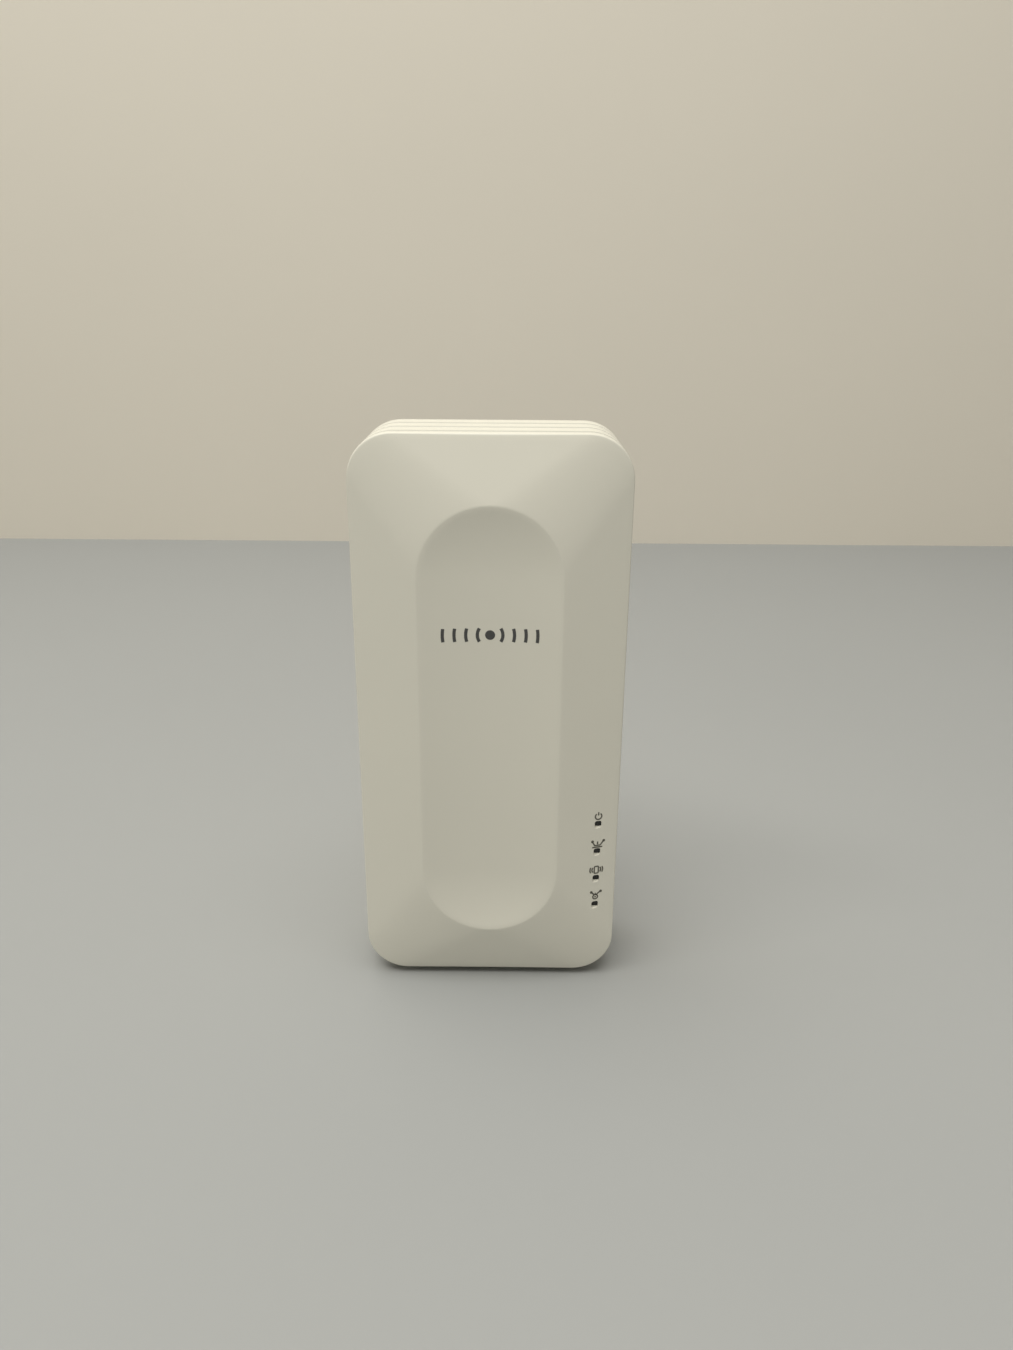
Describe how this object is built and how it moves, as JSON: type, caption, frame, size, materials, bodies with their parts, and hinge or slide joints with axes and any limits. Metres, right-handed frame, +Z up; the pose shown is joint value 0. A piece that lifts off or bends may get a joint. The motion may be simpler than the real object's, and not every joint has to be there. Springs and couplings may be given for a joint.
{
  "type": "wifi range extender",
  "caption": "Upright plug-in wireless range extender with a bevelled front, scooped panel, status lights, side buttons, a network socket and fixed mains blades.",
  "frame": {"origin": "middle of the whole object's footprint, blades included, on the surface it stands on", "axes": "+Z up along the casing's long side, -Y out of the front, +Y along the mains blades, +X to the right seen from the front"},
  "size_m": [0.0716, 0.0506, 0.1582],
  "materials": {
    "casing_white": "satin moulded white",
    "button_white": "satin moulded white",
    "holder_white": "matt moulded white",
    "blade_nickel": "nickel plated",
    "contact_brass": "bare spring brass",
    "board_green": "solder mask over glass laminate",
    "chip_black": "moulded epoxy",
    "can_steel": "tinned sheet",
    "pad_grey": "soft silicone",
    "sink_aluminium": "extruded, anodised",
    "guide_smoke": "smoked clear polycarbonate",
    "mask_black": "black foam",
    "led_body": "chip light",
    "jack_black": "moulded nylon",
    "switch_black": "moulded nylon",
    "plunger_grey": "moulded acetal",
    "sheet_milky": "milky film",
    "ferrite": "sintered ferrite",
    "winding_tape": "yellow polyester tape",
    "copper": "enamelled copper wire",
    "sleeve_dark": "printed sleeve, left plain",
    "capacitor_yellow": "moulded box",
    "fuse_ceramic": "ceramic tube with tinned caps",
    "aerial_laminate": "black laminate strip",
    "lead_sheath": "thin coaxial sheath",
    "connector_gold": "gold flash",
    "label_grey": "plain label stock",
    "screw_steel": "zinc plated"
  },
  "bodies": {
    "casing": {"front_cover": "casing_white", "rear_case": "casing_white", "plug_holder": "holder_white", "live_blade": "blade_nickel", "neutral_blade": "blade_nickel", "blade_contacts": "contact_brass", "jack_contacts": "contact_brass", "main_board": "board_green", "power_board": "board_green", "processor": "chip_black", "memory_chips": "chip_black", "radio_chips": "chip_black", "ethernet_transformer": "chip_black", "bridge_rectifier": "chip_black", "power_controller": "chip_black", "optocoupler": "chip_black", "filter_inductors": "chip_black", "shield_cans": "can_steel", "jack_shield": "can_steel", "thermal_pads": "pad_grey", "heat_sink": "sink_aluminium", "light_guide": "guide_smoke", "light_mask": "mask_black", "status_leds": "led_body", "jack_body": "jack_black", "link_header": "jack_black", "link_socket": "jack_black", "wps_switch": "switch_black", "power_switch": "switch_black", "reset_switch": "switch_black", "insulation_sheet": "sheet_milky", "transformer_core": "ferrite", "choke_core": "ferrite", "transformer_winding": "winding_tape", "choke_winding": "copper", "output_inductor": "copper", "bulk_capacitors": "sleeve_dark", "output_capacitors": "sleeve_dark", "safety_capacitor": "capacitor_yellow", "fuse": "fuse_ceramic", "aerial_side_left": "aerial_laminate", "aerial_side_right": "aerial_laminate", "aerial_top_left": "aerial_laminate", "aerial_top_right": "aerial_laminate", "lead_side_left": "lead_sheath", "lead_side_right": "lead_sheath", "lead_top_left": "lead_sheath", "lead_top_right": "lead_sheath", "lead_connectors": "connector_gold", "rating_label": "label_grey", "case_screws": "screw_steel", "board_screws": "screw_steel"},
    "wps_button": {"wps_button": "button_white"},
    "wps_plunger": {"wps_plunger": "plunger_grey"},
    "power_button": {"power_button": "button_white"},
    "power_plunger": {"power_plunger": "plunger_grey"},
    "reset_plunger": {"reset_plunger": "plunger_grey"}
  },
  "joints": [
    {"name": "wps_button_press", "type": "slide", "parent": "casing", "child": "wps_button", "axis": [-1, 0, 0], "range_m": [0, 0.0005], "stiffness_N_per_m": 3000},
    {"name": "wps_plunger_press", "type": "slide", "parent": "casing", "child": "wps_plunger", "axis": [-1, 0, 0], "range_m": [0, 0.0005]},
    {"name": "power_button_press", "type": "slide", "parent": "casing", "child": "power_button", "axis": [1, 0, 0], "range_m": [0, 0.0005], "stiffness_N_per_m": 3000},
    {"name": "power_plunger_press", "type": "slide", "parent": "casing", "child": "power_plunger", "axis": [1, 0, 0], "range_m": [0, 0.0005]},
    {"name": "reset_press", "type": "slide", "parent": "casing", "child": "reset_plunger", "axis": [0, 0, 1], "range_m": [0, 0.00025], "stiffness_N_per_m": 4000}
  ],
  "couplings": [
    {"joint": "wps_plunger_press", "follows": "wps_button_press", "ratio": 1},
    {"joint": "power_plunger_press", "follows": "power_button_press", "ratio": 1}
  ]
}
